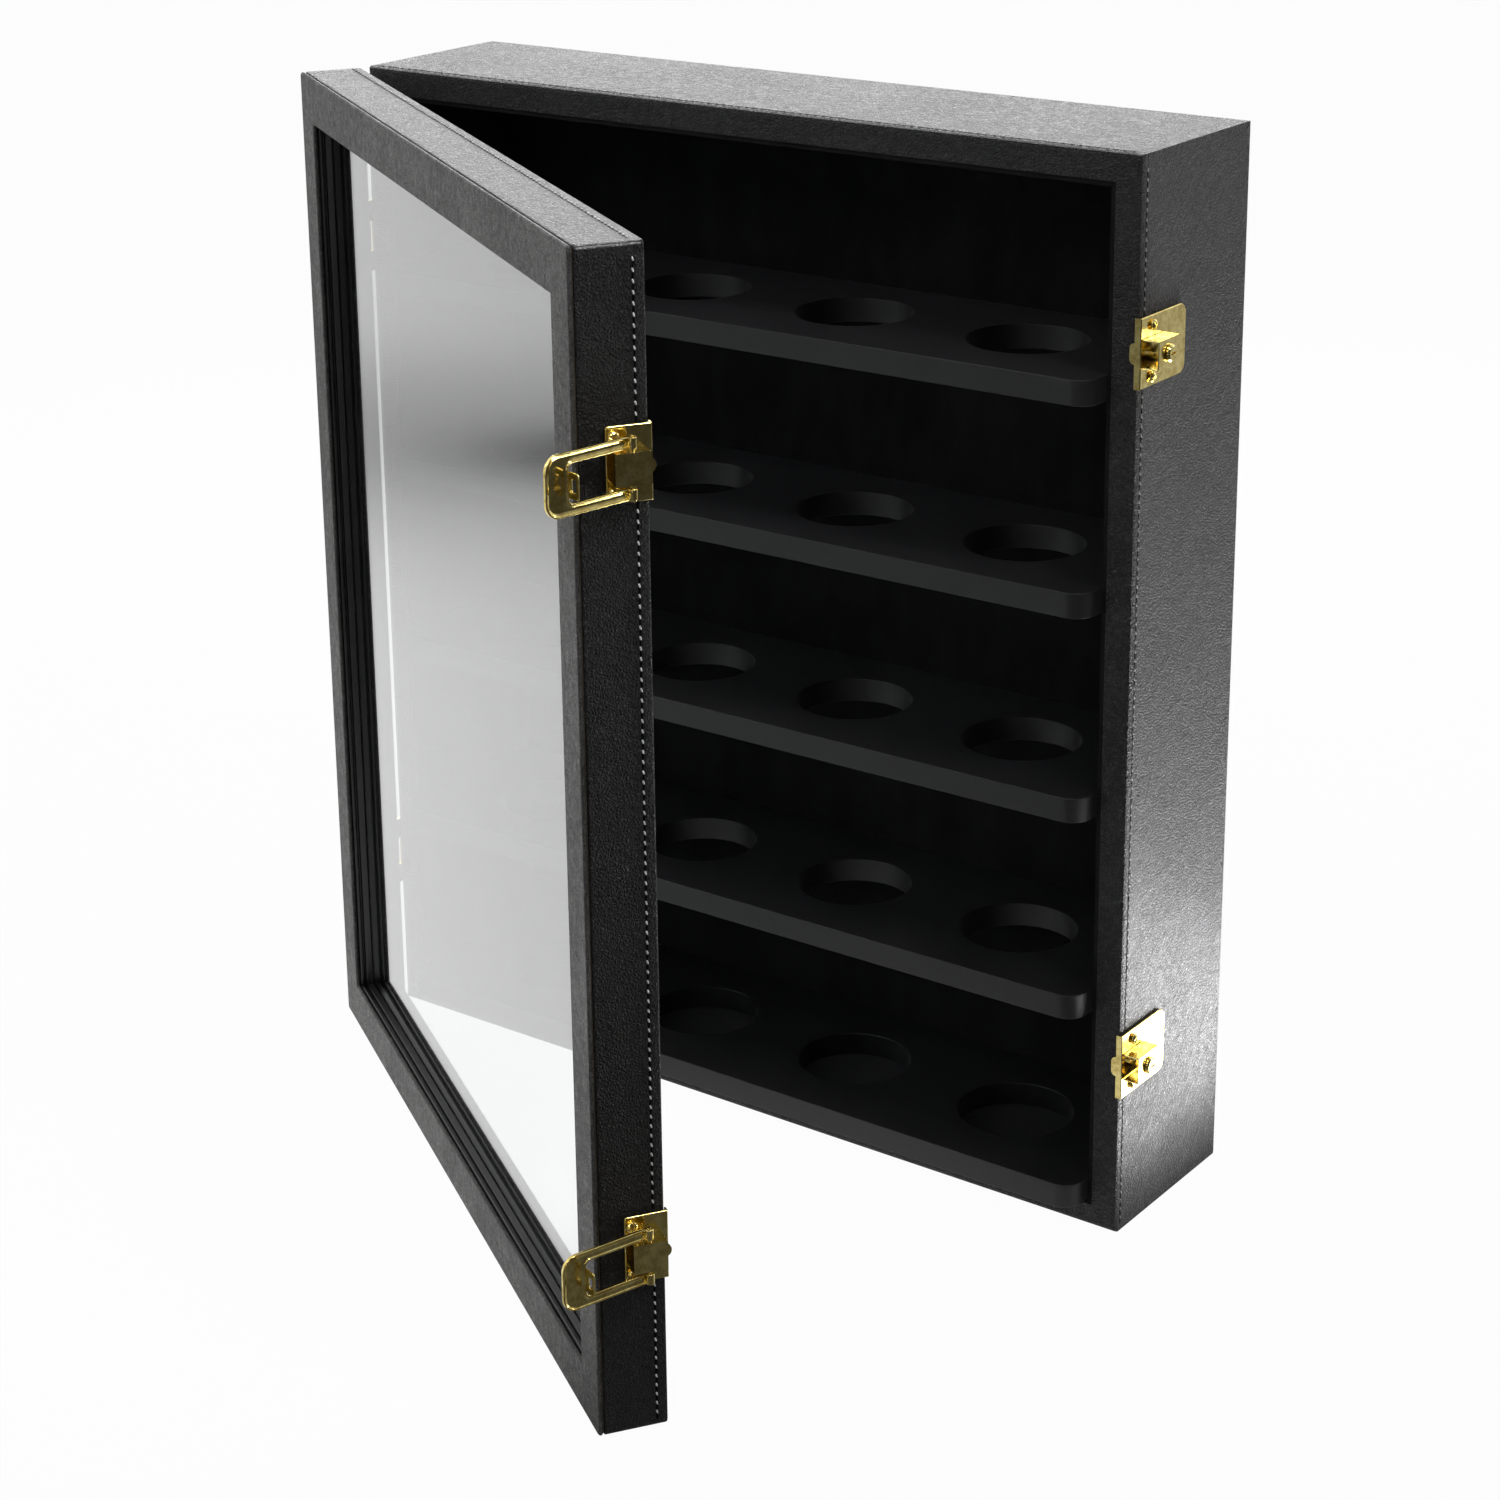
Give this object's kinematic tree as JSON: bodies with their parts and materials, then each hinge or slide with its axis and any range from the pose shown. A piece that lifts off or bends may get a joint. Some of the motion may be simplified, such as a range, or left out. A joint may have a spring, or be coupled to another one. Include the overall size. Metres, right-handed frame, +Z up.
{
  "type": "baseball display case",
  "caption": "Upright leatherette display case with holed ball shelves and a hinged glass door closed by two lockable brass hasps.",
  "frame": {"origin": "middle of the underside of the case, without the door", "axes": "+Z up, the open front with the door faces -Y, +X to the right seen from the front"},
  "size_m": [0.4911, 0.4156, 0.532],
  "materials": {
    "leatherette": "satin",
    "velvet": "matte",
    "shelf": "matte",
    "board": "matte",
    "moulding": "satin",
    "glass": "polished",
    "brass": "polished",
    "steel": "satin"
  },
  "bodies": {
    "case": {"case_cover": "leatherette", "case_top_board": "board", "case_bottom_board": "board", "case_left_board": "board", "case_right_board": "board", "case_back_board": "board", "left_lining": "velvet", "right_lining": "velvet", "top_lining": "velvet", "floor_lining": "velvet", "back_lining": "velvet", "ball_shelf_1": "shelf", "ball_shelf_2": "shelf", "ball_shelf_3": "shelf", "ball_shelf_4": "shelf", "ball_shelf_5": "shelf", "upper_hinge_case_leaf": "brass", "upper_hinge_pin": "brass", "upper_keeper_plate": "brass", "upper_lock_box": "brass", "upper_keeper_screw_top": "brass", "upper_keeper_screw_bottom": "brass", "lower_hinge_case_leaf": "brass", "lower_hinge_pin": "brass", "lower_keeper_plate": "brass", "lower_lock_box": "brass", "lower_keeper_screw_top": "brass", "lower_keeper_screw_bottom": "brass"},
    "door": {"door_facing": "leatherette", "door_cover": "leatherette", "door_top_rail": "board", "door_bottom_rail": "board", "door_hinge_stile": "board", "door_latch_stile": "board", "glass_pane": "glass", "glass_stop_left": "moulding", "glass_stop_right": "moulding", "glass_stop_top": "moulding", "glass_stop_bottom": "moulding", "door_lining": "velvet", "upper_hinge_door_leaf": "brass", "upper_hasp_plate": "brass", "upper_hasp_box": "brass", "upper_loop_pin": "brass", "upper_hasp_screw_top": "brass", "upper_hasp_screw_bottom": "brass", "lower_hinge_door_leaf": "brass", "lower_hasp_plate": "brass", "lower_hasp_box": "brass", "lower_loop_pin": "brass", "lower_hasp_screw_top": "brass", "lower_hasp_screw_bottom": "brass"},
    "upper_loop": {"upper_hasp_loop": "brass"},
    "upper_plug": {"upper_lock_plug": "brass"},
    "upper_catch": {"upper_lock_catch": "steel"},
    "lower_loop": {"lower_hasp_loop": "brass"},
    "lower_plug": {"lower_lock_plug": "brass"},
    "lower_catch": {"lower_lock_catch": "steel"}
  },
  "joints": [
    {"name": "door_hinge", "type": "hinge", "parent": "case", "child": "door", "pos_m": [-0.2333, -0.0523, 0], "axis": [0, 0, -1], "range_deg": [-33.4, 146.6]},
    {"name": "upper_hasp_swing", "type": "hinge", "parent": "door", "child": "upper_loop", "pos_m": [0.15467, -0.32153, 0.442], "axis": [0, 0, -1], "range_deg": [-158, 37]},
    {"name": "upper_key_turn", "type": "hinge", "parent": "case", "child": "upper_plug", "pos_m": [0.2405, -0.0413, 0.442], "axis": [-1, 0, 0], "range_deg": [0, 90]},
    {"name": "upper_catch_turn", "type": "hinge", "parent": "case", "child": "upper_catch", "pos_m": [0.23555, -0.0345, 0.4377], "axis": [1, 0, 0], "range_deg": [0, 30]},
    {"name": "lower_hasp_swing", "type": "hinge", "parent": "door", "child": "lower_loop", "pos_m": [0.15467, -0.32153, 0.09], "axis": [0, 0, -1], "range_deg": [-164, 31]},
    {"name": "lower_key_turn", "type": "hinge", "parent": "case", "child": "lower_plug", "pos_m": [0.2405, -0.0413, 0.09], "axis": [-1, 0, 0], "range_deg": [0, 90]},
    {"name": "lower_catch_turn", "type": "hinge", "parent": "case", "child": "lower_catch", "pos_m": [0.23555, -0.0345, 0.0857], "axis": [1, 0, 0], "range_deg": [0, 30]}
  ],
  "couplings": [
    {"joint": "upper_catch_turn", "follows": "upper_key_turn", "ratio": 0.3333},
    {"joint": "lower_catch_turn", "follows": "lower_key_turn", "ratio": 0.3333}
  ]
}
